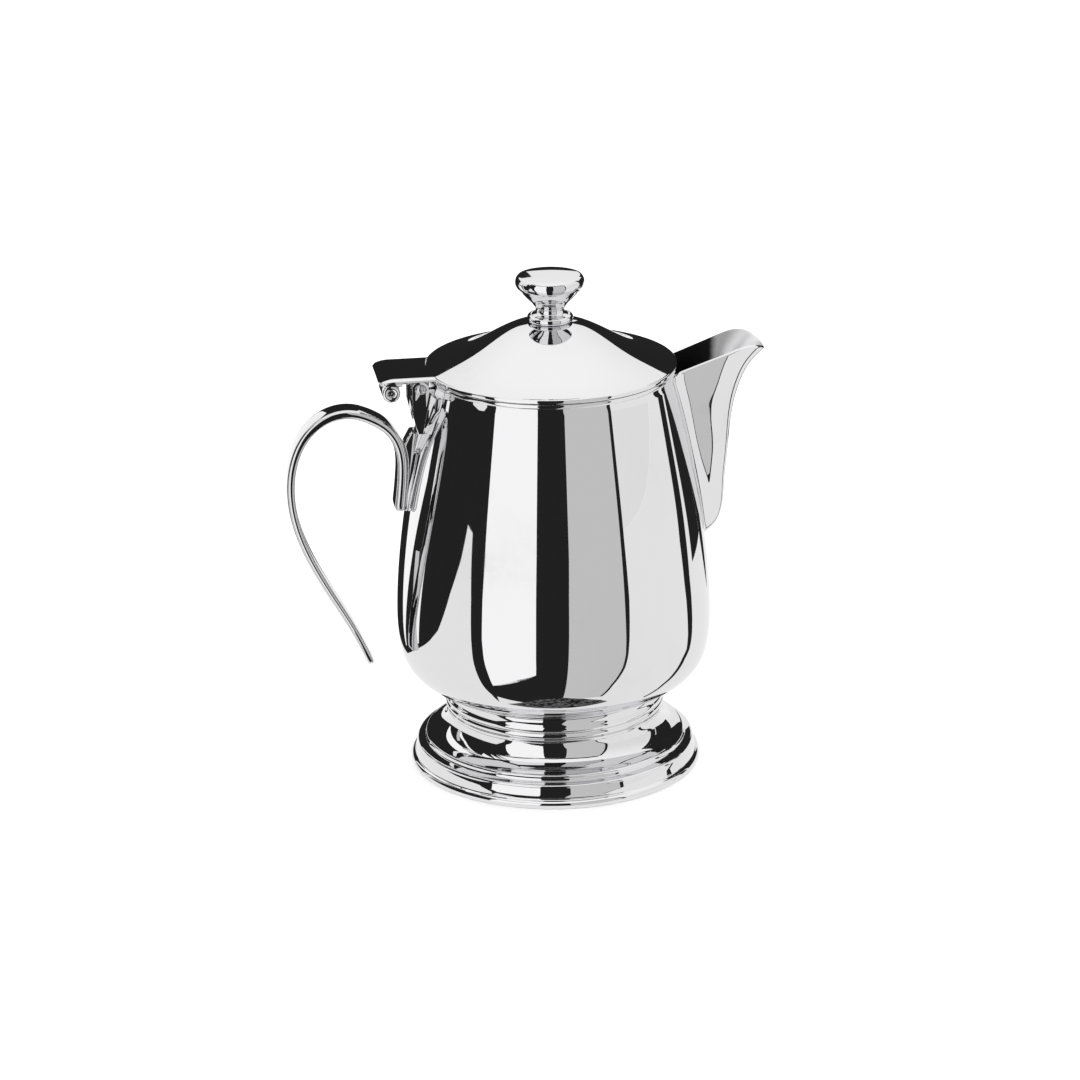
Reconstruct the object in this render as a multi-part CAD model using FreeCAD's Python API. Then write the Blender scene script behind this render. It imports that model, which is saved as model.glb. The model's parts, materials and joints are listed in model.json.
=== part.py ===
import FreeCAD, Part
import math
import os

# Stainless coffee pot: footed body, beak spout, open strap handle, hinged lid.
# Millimetres. Origin: centre of the foot on the table. +Z up, spout toward +X.

V = FreeCAD.Vector
UP = V(0, 0, 1)

# Driving dimensions
WALL = 0.9             # sheet thickness of body, foot, lid and spout
BODY_MAX_R = 52.4      # widest radius of the body
BODY_MAX_Z = 52.0      # height of the widest ring
BODY_FLOOR_Z = 23.4    # underside of the flat floor
MOUTH_R = 40.6         # outer radius of the body at its mouth
MOUTH_Z = 136.9        # top of the body
COLLAR_R = 36.4        # radius where body and foot meet
FOOT_TOP_Z = 18.4
FOOT_R = 48.7          # widest radius of the foot
NECK_Z = 133.4         # the wall is upright from here to the mouth
BEAD_Z = 135.4         # lower edge of the rim bead
BEAD_R = 41.0
LID_R = 41.5
LID_REST_Z = 137.2     # underside of the lid rim
LID_TOP_Z = 152.8
LID_SEAT_R = 7.0       # flat seat of the knob
LID_FLANGE_R = 38.8    # ring under the lid that drops inside the mouth
LID_FLANGE_DEPTH = 2.8
KNOB_R = 11.35
KNOB_TOP_Z = 168.9
PIN_X = -44.2
PIN_Z = 134.6
PIN_R = 1.1
PIN_PLAY = 0.05        # radial play of the lid knuckle on the pin
KNUCKLE_R = 2.5
KNUCKLE_HALF = 6.5
EAR_IN = 7.0           # ears stand between these two distances from the middle
EAR_OUT = 9.6
EAR_R = 2.7
BRACKET_THICK = 1.3
TONGUE_HALF = 12.4
TONGUE_TIP_X = -58.0
TONGUE_Z = 137.9       # underside of the tongue plate
TONGUE_THICK = 1.5
CURL_R = 3.0
CURL_X = -53.3
CURL_Z = 132.4
CURL_HALF = 5.8
HANDLE_HALF = 5.2
HANDLE_THICK = 3.6
TAIL_HALF = 4.2
TAIL_THICK = 2.3
MOUNT_HALF = 3.4
SCREW_R = 2.0


def p(x, z, y=0.0):
    return V(x, y, z)


def curve(points):
    """Smooth edge through (x, z) points."""
    spline = Part.BSplineCurve()
    spline.interpolate([p(x, z) for x, z in points])
    return spline.toShape()


def line(a, b):
    return Part.makeLine(p(*a), p(*b))


def arc(a, b, c):
    return Part.Arc(p(*a), p(*b), p(*c)).toShape()


def dome(x, z, top):
    """Arc from (x, z) up to the axis at height top, its centre on the axis."""
    radius = (x * x + (top - z) ** 2) / (2 * (top - z))
    half_angle = math.asin(x / radius) / 2
    middle = (radius * math.sin(half_angle), top - radius + radius * math.cos(half_angle))
    return arc((x, z), middle, (0.0, top))


def chain(points):
    """Straight edges through (x, z) points."""
    return [line(a, b) for a, b in zip(points, points[1:])]


def turned(edges):
    """Solid of revolution about Z from edges that close a profile."""
    wire = Part.Wire(Part.__sortEdges__(edges))
    solid = Part.Face(wire).revolve(V(0, 0, 0), UP, 360)
    if solid.Volume < 0:
        solid = solid.reversed()
    return solid


def inset(points, depth):
    """The points moved sideways by depth, to the left of their direction."""
    moved = []
    last = len(points) - 1
    for i, (x, z) in enumerate(points):
        x0, z0 = points[max(i - 1, 0)]
        x1, z1 = points[min(i + 1, last)]
        length = math.hypot(x1 - x0, z1 - z0)
        moved.append((x - (z1 - z0) / length * depth, z + (x1 - x0) / length * depth))
    return moved


def plate_xz(edges, half):
    """Flat outline in XZ, thickened evenly to both sides of Y = 0."""
    face = Part.Face(Part.Wire(Part.__sortEdges__(edges)))
    face.translate(V(0, -half, 0))
    return face.extrude(V(0, 2 * half, 0))


def rod_y(x, z, radius, half):
    return Part.makeCylinder(radius, 2 * half, V(x, -half, z), V(0, 1, 0))


def box(x0, x1, y0, y1, z0, z1):
    return Part.makeBox(x1 - x0, y1 - y0, z1 - z0, V(x0, y0, z0))


def mirrored_pair(shape):
    return shape.fuse(shape.mirror(V(0, 0, 0), V(0, 1, 0)))


# ---------------------------------------------------------------- body

BODY_SIDE = [
    (30.0, BODY_FLOOR_Z),
    (COLLAR_R, 26.7),
    (44.0, 30.7),
    (49.3, 35.8),
    (BODY_MAX_R - 0.4, 44.5),
    (BODY_MAX_R, BODY_MAX_Z + 2.0),
    (BODY_MAX_R - 0.9, 70.0),
    (BODY_MAX_R - 3.1, 88.0),
    (BODY_MAX_R - 6.7, 108.0),
    (BODY_MAX_R - 10.4, 126.5),
    (MOUTH_R, NECK_Z),
]


def body_volume(extra=0.0):
    """Everything inside the outer face of body and bead, grown by extra."""
    side = [(x + extra, z) for x, z in BODY_SIDE]
    edges = [curve(side)]
    edges += chain([
        side[-1], (MOUTH_R + extra, BEAD_Z), (BEAD_R + extra, BEAD_Z), (BEAD_R + extra, MOUTH_Z),
        (0.0, MOUTH_Z), (0.0, BODY_FLOOR_Z), side[0]])
    return turned(edges)


def body_shell():
    inner = inset(BODY_SIDE, WALL)
    inner[0] = (BODY_SIDE[0][0] - WALL / 2, BODY_FLOOR_Z + WALL)
    inner[-1] = (MOUTH_R - WALL, NECK_Z)
    edges = [curve(BODY_SIDE), curve(inner)]
    edges += chain([BODY_SIDE[0], (0.0, BODY_FLOOR_Z), (0.0, BODY_FLOOR_Z + WALL), inner[0]])
    edges += chain([BODY_SIDE[-1], (MOUTH_R, MOUTH_Z), (MOUTH_R - WALL, MOUTH_Z), inner[-1]])
    pour_hole = spout_channel().common(box(20, 60, -15, 15, 78, NECK_Z - 0.5))
    return turned(edges).cut(pour_hole)


def rim_bead():
    middle = (BEAD_Z + MOUTH_Z) / 2
    edges = chain([(BEAD_R - 0.25, MOUTH_Z), (MOUTH_R, MOUTH_Z), (MOUTH_R, BEAD_Z), (BEAD_R - 0.3, BEAD_Z)])
    edges.append(arc((BEAD_R - 0.3, BEAD_Z), (BEAD_R, middle), (BEAD_R - 0.25, MOUTH_Z)))
    return turned(edges)


# ---------------------------------------------------------------- spout

# height, root x, root half width, nose start x, nose half width, keel x
BEAK = [
    (76.3, 47.0, 2.2, 50.2, 1.0, 51.2),
    (79.5, 47.0, 3.9, 51.8, 1.8, 54.2),
    (84.0, 46.5, 5.4, 53.0, 2.5, 56.3),
    (95.0, 44.5, 6.9, 53.4, 3.4, 58.0),
    (115.0, 40.5, 9.0, 53.6, 5.0, 59.9),
    (128.0, 38.0, 10.6, 55.0, 7.6, 62.5),
    (136.0, 37.0, 11.4, 57.6, 9.7, 66.4),
    (141.0, 37.0, 11.7, 60.4, 11.3, 71.6),
    (146.0, 37.0, 12.0, 63.0, 12.5, 77.0),
]


def beak_ring(height, root_x, root_half, nose_x, nose_half, keel_x):
    corners = [p(root_x, height, root_half), p(nose_x, height, nose_half)]
    tip = p(keel_x, height)
    facing = [V(c.x, -c.y, c.z) for c in corners]
    edges = [
        Part.makeLine(corners[0], corners[1]),
        Part.Arc(corners[1], tip, facing[1]).toShape(),
        Part.makeLine(facing[1], facing[0]),
        Part.makeLine(facing[0], corners[0]),
    ]
    return Part.Wire(edges)


def spout_channel():
    """The space inside the beak, reaching through the body wall."""
    rings = []
    for height, root_x, root_half, nose_x, nose_half, keel_x in BEAK[1:]:
        rings.append(beak_ring(
            height + 2.0, root_x - 4.0, root_half - WALL, nose_x - 0.3, nose_half - WALL, keel_x - WALL - 0.3))
    return Part.makeLoft(rings, True)


def mouth_cutter():
    """Everything above the slanted mouth of the beak."""
    edges = chain([(62.4, 143.5), (38.0, 134.4), (30.0, 134.4), (30.0, 160.0), (85.0, 160.0), (85.0, 131.0)])
    edges.append(line((85.0, 131.0), (73.8, 138.0)))
    edges.append(arc((73.8, 138.0), (69.0, 142.4), (62.4, 143.5)))
    return plate_xz(edges, 30)


def spout_shell():
    beak = Part.makeLoft([beak_ring(*row) for row in BEAK], True)
    return beak.cut(spout_channel()).cut(body_volume()).cut(mouth_cutter())


# ---------------------------------------------------------------- foot

def foot_collar():
    """Ring with two thin beads, brazed between body and foot."""
    low, mid, high = 19.5, 21.7, 24.0
    bead = COLLAR_R + 0.4
    edges = [
        line((COLLAR_R, 28.0), (COLLAR_R, high)),
        arc((COLLAR_R, high), (bead, (high + mid) / 2), (COLLAR_R, mid)),
        arc((COLLAR_R, mid), (bead, (mid + low) / 2), (COLLAR_R, low)),
        line((COLLAR_R, low), (COLLAR_R, FOOT_TOP_Z)),
    ]
    edges += chain([(COLLAR_R, FOOT_TOP_Z), (COLLAR_R - 3, FOOT_TOP_Z), (COLLAR_R - 3, 28.0), (COLLAR_R, 28.0)])
    return turned(edges).cut(body_volume())


def foot_shell():
    """Spun foot: hollow waist, a small step, an upright drum and the lip on the table."""
    waist = [(36.1, FOOT_TOP_Z), (36.4, 16.2), (37.1, 14.2), (38.4, 12.4), (40.4, 10.9), (42.8, 10.0)]
    inner = [(35.2, FOOT_TOP_Z - WALL), (35.5, 15.7), (36.3, 13.6), (37.8, 11.6), (40.0, 10.0)]
    inner += [(42.2, 8.9), (43.2, 7.5), (44.9, 6.4), (45.8, 4.6), (46.5, 2.4), (47.6, 0.0)]
    edges = [curve(waist)]
    edges.append(arc(waist[-1], (43.45, 9.75), (43.65, 9.1)))
    edges += chain([(43.65, 9.1), (43.9, 8.1), (45.7, 7.65)])
    edges.append(arc((45.7, 7.65), (46.3, 7.3), (46.5, 6.7)))
    edges.append(arc((46.5, 6.7), (47.0, 4.8), (47.35, 2.9)))
    edges.append(line((47.35, 2.9), (47.6, 2.7)))
    edges.append(arc((47.6, 2.7), (FOOT_R, 1.4), (FOOT_R - 0.3, 0.0)))
    edges.append(line((FOOT_R - 0.3, 0.0), inner[-1]))
    edges.append(curve(inner))
    flange = COLLAR_R - 3
    edges += chain([inner[0], (flange, FOOT_TOP_Z - WALL), (flange, FOOT_TOP_Z), waist[0]])
    return turned(edges)


# ---------------------------------------------------------------- lid

LID_SIDE = [
    (LID_SEAT_R, LID_TOP_Z),
    (10.5, LID_TOP_Z - 0.7),
    (16.0, 149.9),
    (24.0, 145.4),
    (32.0, 141.3),
    (38.0, 139.4),
    (LID_R - 0.6, 138.9),
]


def lid_inner():
    under = inset(LID_SIDE, -WALL)
    under[0] = (LID_SEAT_R - 0.2, LID_TOP_Z - WALL)
    return under


def lid_shell():
    under = lid_inner()
    edges = [curve(LID_SIDE), curve(under)]
    edges += chain([LID_SIDE[0], (SCREW_R, LID_TOP_Z), (SCREW_R, LID_TOP_Z - WALL), under[0]])
    edges.append(arc(LID_SIDE[-1], (LID_R - 0.13, 138.8), (LID_R, 138.5)))
    edges += chain([(LID_R, 138.5), (LID_R, LID_REST_Z), (under[-1][0] - 0.4, LID_REST_Z), under[-1]])
    return turned(edges)


def above_lid_inside():
    """Everything over the underside of the lid."""
    under = lid_inner()
    edges = [curve(under)]
    edges += chain([under[-1], (60.0, under[-1][1]), (60.0, 190.0), (0.0, 190.0), (0.0, under[0][1]), under[0]])
    return turned(edges)


def lid_flange():
    top = LID_REST_Z + 2.5
    low = LID_REST_Z - LID_FLANGE_DEPTH
    ring = chain([
        (LID_FLANGE_R, top), (LID_FLANGE_R, low + 0.4), (LID_FLANGE_R - 0.4, low),
        (LID_FLANGE_R - WALL, low), (LID_FLANGE_R - WALL, top), (LID_FLANGE_R, top)])
    return turned(ring).cut(above_lid_inside())


def lid_tongue():
    """Thumb tongue with the knuckle that turns on the pin."""
    top = TONGUE_Z + TONGUE_THICK
    side = [line((-38.0, TONGUE_Z), (-38.0, top)), line((-38.0, top), (-53.0, top))]
    side.append(arc((-53.0, top), (-56.0, top - 0.25), (TONGUE_TIP_X, top - 1.2)))
    side.append(line((TONGUE_TIP_X, top - 1.2), (TONGUE_TIP_X + 0.3, top - 2.4)))
    side.append(arc((TONGUE_TIP_X + 0.3, top - 2.4), (-56.0, TONGUE_Z - 0.2), (-53.5, TONGUE_Z)))
    side.append(line((-53.5, TONGUE_Z), (-38.0, TONGUE_Z)))
    plate = plate_xz(side, TONGUE_HALF)
    corners = [e for e in plate.Edges if abs(e.BoundBox.XMin - TONGUE_TIP_X) < 0.5 and e.BoundBox.YLength < 0.1
               and e.BoundBox.XLength < 0.5]
    plate = plate.makeFillet(4.0, corners)
    plate = plate.cut(Part.makeCylinder(LID_R, 20, V(0, 0, 130)))
    rib = box(-56.2, -46.8, -CURL_HALF, CURL_HALF, CURL_Z + 1.0, TONGUE_Z + 0.4)
    rib = rib.cut(rod_y(-48.9, CURL_Z + 0.2, 2.6, 10)).cut(box(-49.6, -40, -10, 10, 120, CURL_Z + 2.8))
    curl = rod_y(CURL_X, CURL_Z, CURL_R, CURL_HALF)
    knuckle = rod_y(PIN_X, PIN_Z, KNUCKLE_R, KNUCKLE_HALF)
    web = box(PIN_X - 2.4, PIN_X + 2.0, -KNUCKLE_HALF, KNUCKLE_HALF, PIN_Z, TONGUE_Z + 0.4)
    tongue = plate.fuse([rib, curl, knuckle, web])
    tongue = tongue.cut(rod_y(PIN_X, PIN_Z, PIN_R + PIN_PLAY, 20))
    tongue = tongue.cut(rod_y(CURL_X, CURL_Z, 1.1, 20))
    return tongue.removeSplitter()


def knob():
    """Turned knob: bead on the lid, waist and flat domed head, bored for the screw."""
    base = 6.6
    bore_top = LID_TOP_Z + 6.0
    edges = chain([(base, LID_TOP_Z), (SCREW_R, LID_TOP_Z), (SCREW_R, bore_top), (0.0, bore_top)])
    edges.append(line((0.0, bore_top), (0.0, KNOB_TOP_Z)))
    edges.append(arc((base, LID_TOP_Z), (7.6, 154.0), (6.0, 155.4)))
    edges.append(arc((6.0, 155.4), (4.8, 156.7), (5.2, 158.1)))
    edges.append(curve([(5.2, 158.1), (6.7, 159.5), (8.3, 161.0), (9.6, 162.4), (10.3, 163.9)]))
    edges.append(arc((10.3, 163.9), (KNOB_R, 165.9), (10.7, 167.9)))
    edges.append(dome(10.7, 167.9, KNOB_TOP_Z))
    return turned(edges)


def knob_washer():
    top = LID_TOP_Z - WALL
    ring = Part.makeCylinder(5.0, 1.0, V(0, 0, top - 1.2))
    return ring.cut(Part.makeCylinder(SCREW_R, 4, V(0, 0, top - 3)))


def knob_screw():
    seat = LID_TOP_Z - WALL - 1.2
    head = Part.makeCylinder(3.6, 2.2, V(0, 0, seat - 2.2))
    head = head.makeFillet(0.9, [e for e in head.Edges if e.BoundBox.ZMax < seat - 2.1])
    shank = Part.makeCylinder(SCREW_R, 7.5, V(0, 0, seat))
    slot = box(-0.5, 0.5, -5, 5, seat - 2.3, seat - 1.3)
    return head.fuse(shank).cut(slot)


# ---------------------------------------------------------------- hinge and handle

def hinge_bracket():
    """Shield on the body wall with two ears that carry the pin."""
    shield = Part.makePolygon([
        V(-60, -14.5, 132.6), V(-60, -14.5, 128.5), V(-60, -11.0, 122.0), V(-60, -5.5, 113.0),
        V(-60, 0.0, 108.0), V(-60, 5.5, 113.0), V(-60, 11.0, 122.0), V(-60, 14.5, 128.5),
        V(-60, 14.5, 132.6), V(-60, -14.5, 132.6)])
    prism = Part.Face(shield).extrude(V(30, 0, 0))
    skin = body_volume(BRACKET_THICK).common(prism)
    skin = skin.cut(box(-60, -30, -EAR_IN, EAR_IN, 121.5, 140.0))
    outline = chain([
        (PIN_X - EAR_R, PIN_Z), (PIN_X - EAR_R, 126.5), (PIN_X - 1.2, 119.5), (-38.0, 119.5),
        (-38.0, PIN_Z), (PIN_X - EAR_R, PIN_Z)])
    ear = plate_xz(outline, (EAR_OUT - EAR_IN) / 2).fuse(rod_y(PIN_X, PIN_Z, EAR_R, (EAR_OUT - EAR_IN) / 2))
    ear.translate(V(0, (EAR_OUT + EAR_IN) / 2, 0))
    ears = mirrored_pair(ear)
    bracket = skin.fuse(ears).cut(body_volume())
    return bracket.cut(rod_y(PIN_X, PIN_Z, PIN_R, 20)).removeSplitter()


def hinge_pin():
    pin = rod_y(PIN_X, PIN_Z, PIN_R, EAR_OUT)
    head = Part.makeSphere(2.2, V(PIN_X, EAR_OUT - 1.2, PIN_Z))
    head = head.common(box(PIN_X - 5, PIN_X + 5, EAR_OUT, EAR_OUT + 3, PIN_Z - 5, PIN_Z + 5))
    return pin.fuse(mirrored_pair(head))


HANDLE_LINE = [
    (-51.2, 93.0),
    (-50.2, 103.0),
    (-50.5, 111.5),
    (-53.8, 118.8),
    (-59.6, 123.2),
    (-67.2, 125.6),
    (-74.6, 124.2),
    (-81.0, 119.2),
    (-85.4, 110.8),
    (-87.0, 99.8),
    (-85.5, 88.0),
    (-81.2, 75.8),
    (-74.2, 62.2),
    (-67.2, 49.4),
    (-62.4, 39.0),
]


def strap_section(x, z, lean, thick, half):
    """Round-edged strap section at (x, z), square to a line that leans from vertical."""
    radius = thick / 2 - 0.2
    flat = Part.makeBox(thick, 2 * half, 1.0, V(-thick / 2, -half, 0.0))
    uprights = [e for e in flat.Edges if e.BoundBox.ZLength > 0.9]
    rounded = flat.makeFillet(radius, uprights)
    wire = [f for f in rounded.Faces if f.BoundBox.ZMax < 0.1][0].OuterWire
    wire.rotate(V(0, 0, 0), V(0, 1, 0), lean)
    wire.translate(V(x, 0, z))
    return wire


def handle_strap():
    """Open strap: short leg on the mount, high bow, long free tail."""
    spine = curve(HANDLE_LINE)
    sections = []
    for t, thick, half in (
            (spine.FirstParameter, HANDLE_THICK, HANDLE_HALF), (spine.LastParameter, TAIL_THICK, TAIL_HALF)):
        place = spine.valueAt(t)
        way = spine.tangentAt(t)
        lean = math.degrees(math.atan2(way.x, way.z))
        sections.append(strap_section(place.x, place.z, lean, thick, half))
    strap = Part.Wire(spine).makePipeShell(sections, True, False)
    tail = HANDLE_LINE[-1]
    tip = [e for e in strap.Edges if e.CenterOfMass.distanceToPoint(p(*tail)) < 6.0 and e.Length < 15]
    return strap.makeFillet(0.7, tip)


def handle_mount():
    """Spine brazed to the body wall that carries the leg of the handle."""
    outline = [(-40.0, 118.0), (-47.0, 118.0), (-50.5, 111.5), (-50.2, 103.0), (-51.1, 91.6), (-44.0, 89.6)]
    edges = chain(outline + [outline[0]])
    spine = plate_xz(edges, MOUNT_HALF)
    return spine.cut(body_volume()).cut(handle_strap()).cut(hinge_bracket())


# ---------------------------------------------------------------- write the parts

PARTS = {
    "body_shell": body_shell,
    "rim_bead": rim_bead,
    "spout_shell": spout_shell,
    "foot_collar": foot_collar,
    "foot_shell": foot_shell,
    "hinge_bracket": hinge_bracket,
    "hinge_pin": hinge_pin,
    "handle_mount": handle_mount,
    "handle_strap": handle_strap,
    "lid_shell": lid_shell,
    "lid_flange": lid_flange,
    "lid_tongue": lid_tongue,
    "knob": knob,
    "knob_washer": knob_washer,
    "knob_screw": knob_screw,
}

os.makedirs("parts", exist_ok=True)
for name, build in PARTS.items():
    shape = build()
    if len(shape.Solids) != 1 or not shape.isValid():
        print("CHECK", name, "solids", len(shape.Solids), "valid", shape.isValid())
    shape.exportStep("parts/" + name + ".step")
    bounds = shape.BoundBox
    print(name, round(shape.Volume), [round(v, 1) for v in (
        bounds.XMin, bounds.XMax, bounds.YMin, bounds.YMax, bounds.ZMin, bounds.ZMax)])
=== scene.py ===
"""A footed coffee pot in mirror-polished steel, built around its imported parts."""

import json
import math
from functools import lru_cache

import bmesh
import bpy
import numpy as np
from bpy.props import FloatProperty, FloatVectorProperty, IntProperty, PointerProperty
from bpy.types import Operator, Panel, PropertyGroup
from mathutils import Matrix, Vector


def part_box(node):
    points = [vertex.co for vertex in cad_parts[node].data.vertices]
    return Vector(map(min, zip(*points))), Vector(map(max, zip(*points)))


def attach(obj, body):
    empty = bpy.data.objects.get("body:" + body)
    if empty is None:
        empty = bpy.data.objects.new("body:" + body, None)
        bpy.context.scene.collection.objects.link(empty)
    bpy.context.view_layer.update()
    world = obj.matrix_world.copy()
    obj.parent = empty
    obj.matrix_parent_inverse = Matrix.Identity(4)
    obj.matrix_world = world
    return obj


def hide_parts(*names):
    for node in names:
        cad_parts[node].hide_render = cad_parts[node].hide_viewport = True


bl_info = {
    "name": "Footed Coffee Pot",
    "version": (1, 0, 0),
    "blender": (4, 5, 0),
    "location": "3D View > Sidebar > Coffee Pot",
    "description": "Builds a polished footed coffee pot with a hinged lid",
    "category": "Add Mesh",
}

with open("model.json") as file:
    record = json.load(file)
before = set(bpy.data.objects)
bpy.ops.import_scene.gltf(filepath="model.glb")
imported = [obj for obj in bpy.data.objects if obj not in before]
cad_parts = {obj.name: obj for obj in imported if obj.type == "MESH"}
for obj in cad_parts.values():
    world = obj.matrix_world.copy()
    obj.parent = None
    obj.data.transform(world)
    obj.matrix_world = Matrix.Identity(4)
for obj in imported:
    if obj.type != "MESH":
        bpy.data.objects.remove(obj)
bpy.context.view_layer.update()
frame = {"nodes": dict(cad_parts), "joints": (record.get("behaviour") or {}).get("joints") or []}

MM = 0.001
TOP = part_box("body_shell")[1].z / MM
BEAD_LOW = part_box("rim_bead")[0].z / MM
MOUTH_R = 40.6
NECK_LOW = 133.4
BEAD_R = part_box("rim_bead")[1].y / MM
LID_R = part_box("lid_shell")[1].y / MM
LID_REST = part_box("lid_shell")[0].z / MM
KNOB_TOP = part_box("knob")[1].z / MM
KNOB_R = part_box("knob")[1].x / MM
FLOOR_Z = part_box("body_shell")[0].z / MM
FOOT_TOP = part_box("foot_shell")[1].z / MM
HINGE = next(j for j in frame["joints"] if j["name"] == "lid_hinge")
PIN = (HINGE["pos_m"][0] / MM, HINGE["pos_m"][2] / MM)


# ---------------------------------------------------------------- settings

class PotSizes(PropertyGroup):
    """Sizes shared by the pieces."""
    wall: FloatProperty(
        name="Wall", description="Sheet thickness of body, foot, lid and beak",
        default=0.0009, min=0.0004, max=0.002, unit="LENGTH", subtype="DISTANCE")
    turns: IntProperty(
        name="Turn steps", description="Steps around a turned piece", default=224, min=48, max=360)


class PotFinish(PropertyGroup):
    """Colours and polish of the metal."""
    steel: FloatVectorProperty(
        name="Steel", description="Colour of the polished steel",
        default=(0.78, 0.775, 0.785), min=0.0, max=1.0, subtype="COLOR")
    satin: FloatVectorProperty(
        name="Satin steel", description="Colour of the inside and of the small hardware",
        default=(0.66, 0.66, 0.67), min=0.0, max=1.0, subtype="COLOR")
    polish: FloatProperty(
        name="Polish", description="Roughness of a freshly buffed face",
        default=0.012, min=0.0, max=1.0, subtype="FACTOR")
    smudge: FloatProperty(
        name="Smudge", description="Roughness that handling adds",
        default=0.05, min=0.0, max=1.0, subtype="FACTOR")


class PotStage(PropertyGroup):
    """Floor, light and camera."""
    floor: FloatVectorProperty(
        name="Floor", description="Colour of the floor",
        default=(0.93, 0.93, 0.93), min=0.0, max=1.0, subtype="COLOR")
    light: FloatProperty(
        name="Light", description="Strength of the even surrounding light", default=1.45, min=0.0)
    distance: FloatProperty(
        name="Camera distance", description="From the lens to the middle of the pot",
        default=1.33, min=0.3, unit="LENGTH", subtype="DISTANCE")
    turn: FloatProperty(
        name="Camera turn", description="Turn of the camera towards the handle",
        default=math.radians(8.0), unit="ROTATION", subtype="ANGLE")
    rise: FloatProperty(
        name="Camera rise", description="Height angle of the camera over the table",
        default=math.radians(19.75), unit="ROTATION", subtype="ANGLE")
    lens: FloatProperty(
        name="Lens", description="Focal length in millimetres", default=133.0, min=10.0)


# ---------------------------------------------------------------- lines

def smooth(corners, steps):
    """Points on a smooth line through the corners, steps of them per gap."""
    knots = np.array(corners, float)
    gaps = np.linalg.norm(np.diff(knots, axis=0), axis=1)
    count = len(knots)
    system = np.eye(count)
    pull = np.zeros_like(knots)
    for i in range(1, count - 1):
        system[i, i - 1:i + 2] = gaps[i - 1], 2 * (gaps[i - 1] + gaps[i]), gaps[i]
        pull[i] = 6 * ((knots[i + 1] - knots[i]) / gaps[i] - (knots[i] - knots[i - 1]) / gaps[i - 1])
    bend = np.linalg.solve(system, pull)
    points = []
    for i, gap in enumerate(gaps):
        for step in range(steps):
            t = step / steps
            s = 1 - t
            points.append(tuple(
                s * knots[i] + t * knots[i + 1]
                + gap * gap / 6 * ((s ** 3 - s) * bend[i] + (t ** 3 - t) * bend[i + 1])))
    points.append(tuple(knots[-1]))
    return points


def arc(start, through, end, steps=10):
    """Points on the circle through three places, both ends included."""
    (ax, az), (bx, bz), (cx, cz) = start, through, end
    d = 2 * (ax * (bz - cz) + bx * (cz - az) + cx * (az - bz))
    a, b, c = ax * ax + az * az, bx * bx + bz * bz, cx * cx + cz * cz
    ox = (a * (bz - cz) + b * (cz - az) + c * (az - bz)) / d
    oz = (a * (cx - bx) + b * (ax - cx) + c * (bx - ax)) / d
    radius = math.hypot(ax - ox, az - oz)
    first = math.atan2(az - oz, ax - ox)
    middle = (math.atan2(bz - oz, bx - ox) - first) % math.tau
    last = (math.atan2(cz - oz, cx - ox) - first) % math.tau
    if middle > last:
        last -= math.tau
    angles = [first + last * i / steps for i in range(steps + 1)]
    return [(ox + radius * math.cos(angle), oz + radius * math.sin(angle)) for angle in angles]


def offset(line, depth):
    """The line moved sideways by depth, to the left of its direction."""
    spots = np.array(line, float)
    along = np.gradient(spots, axis=0)
    along /= np.linalg.norm(along, axis=1)[:, None]
    across = np.stack([-along[:, 1], along[:, 0]], axis=1)
    return [tuple(spot) for spot in spots + across * depth]


def dome(x, z, top, steps=14):
    """Arc from (x, z) up to the axis at height top."""
    radius = (x * x + (top - z) ** 2) / (2 * (top - z))
    start = math.asin(x / radius)
    angles = [start * (1 - i / steps) for i in range(steps + 1)]
    return [(radius * math.sin(a), top - radius + radius * math.cos(a)) for a in angles]


# ---------------------------------------------------------------- outlines, in millimetres

BODY_SIDE = [
    (30.0, FLOOR_Z), (36.4, 26.7), (44.0, 30.7), (49.3, 35.8), (52.0, 44.5), (52.4, 54.0),
    (51.5, 70.0), (49.3, 88.0), (45.7, 108.0), (42.0, 126.5), (MOUTH_R, NECK_LOW),
]
BODY_LINE = smooth(BODY_SIDE, 12)


def body_radius(z):
    """Outer radius of the body at a height."""
    heights = [point[1] for point in BODY_LINE]
    radii = [point[0] for point in BODY_LINE]
    return float(np.interp(z, heights, radii))


# height, half width at the wall, end of the root sweep, corner x, corner half width, keel x
BEAK_ROWS = [
    (76.3, 1.0, 51.2, 51.2, 0.6, 51.5),
    (79.5, 2.4, 51.9, 52.1, 1.8, 54.9),
    (84.0, 3.4, 52.5, 53.1, 2.8, 56.9),
    (95.0, 4.9, 51.8, 53.8, 4.0, 58.0),
    (105.0, 5.7, 49.6, 54.1, 4.8, 59.0),
    (115.0, 6.7, 47.2, 54.5, 5.7, 59.9),
    (122.0, 7.8, 45.8, 55.4, 6.9, 61.0),
    (128.0, 9.0, 44.6, 56.9, 8.2, 62.6),
    (136.0, 10.6, 43.2, 59.6, 9.9, 66.5),
    (141.0, 11.5, 42.6, 61.9, 11.1, 71.4),
    (146.0, 12.3, 42.4, 64.6, 12.4, 77.0),
]
BEAK_FINE = smooth(BEAK_ROWS, 8)
MOUTH_LINE = smooth([(38.0, 134.5), (50.0, 138.9), (58.0, 141.8), (63.5, 143.3), (68.0, 142.7),
                     (71.3, 140.4), (74.0, 137.2)], 16)
HANDLE_LINE = [
    (-51.2, 93.0), (-50.2, 103.0), (-50.5, 111.5), (-53.8, 118.8), (-59.6, 123.2), (-67.2, 125.6),
    (-74.6, 124.2), (-81.0, 119.2), (-85.4, 110.8), (-87.0, 99.8), (-85.5, 88.0), (-81.2, 75.8),
    (-74.2, 62.2), (-67.2, 49.4), (-62.4, 39.0),
]
HANDLE_FINE = smooth(HANDLE_LINE, 14)
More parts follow.
